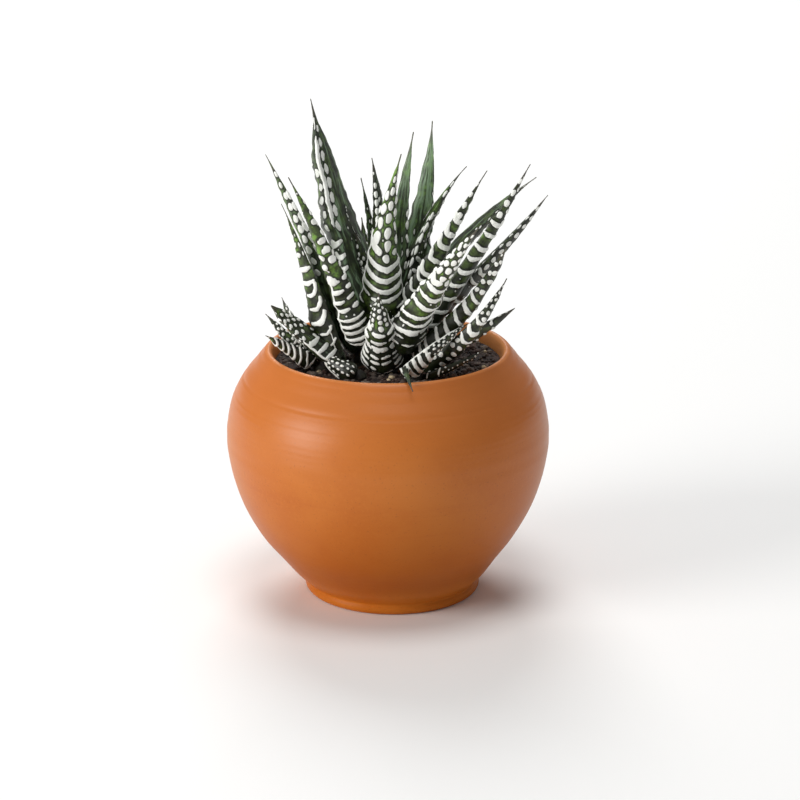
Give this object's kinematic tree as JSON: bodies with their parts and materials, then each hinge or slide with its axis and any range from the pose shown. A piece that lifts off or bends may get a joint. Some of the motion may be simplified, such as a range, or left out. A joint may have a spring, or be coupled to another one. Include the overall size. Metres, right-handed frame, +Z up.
{
  "type": "potted haworthia",
  "caption": "Small succulent rosette with white-banded pointed leaves and offsets, growing in soil in a rounded terracotta pot.",
  "frame": {"origin": "centre of the pot's foot, in the plane that the pot stands on", "axes": "+Z up along the pot's axis, the side that the picture shows faces -Y"},
  "size_m": [0.11, 0.11, 0.17],
  "materials": {
    "terracotta": "unglazed, matt, smooth",
    "soil": "loose potting soil, matt",
    "leaf": "succulent leaf, satin, with raised white bands"
  },
  "bodies": {
    "root": {"pot": "terracotta", "soil": "soil", "rosette_main": "leaf", "rosette_left": "leaf", "rosette_right": "leaf"}
  },
  "joints": []
}
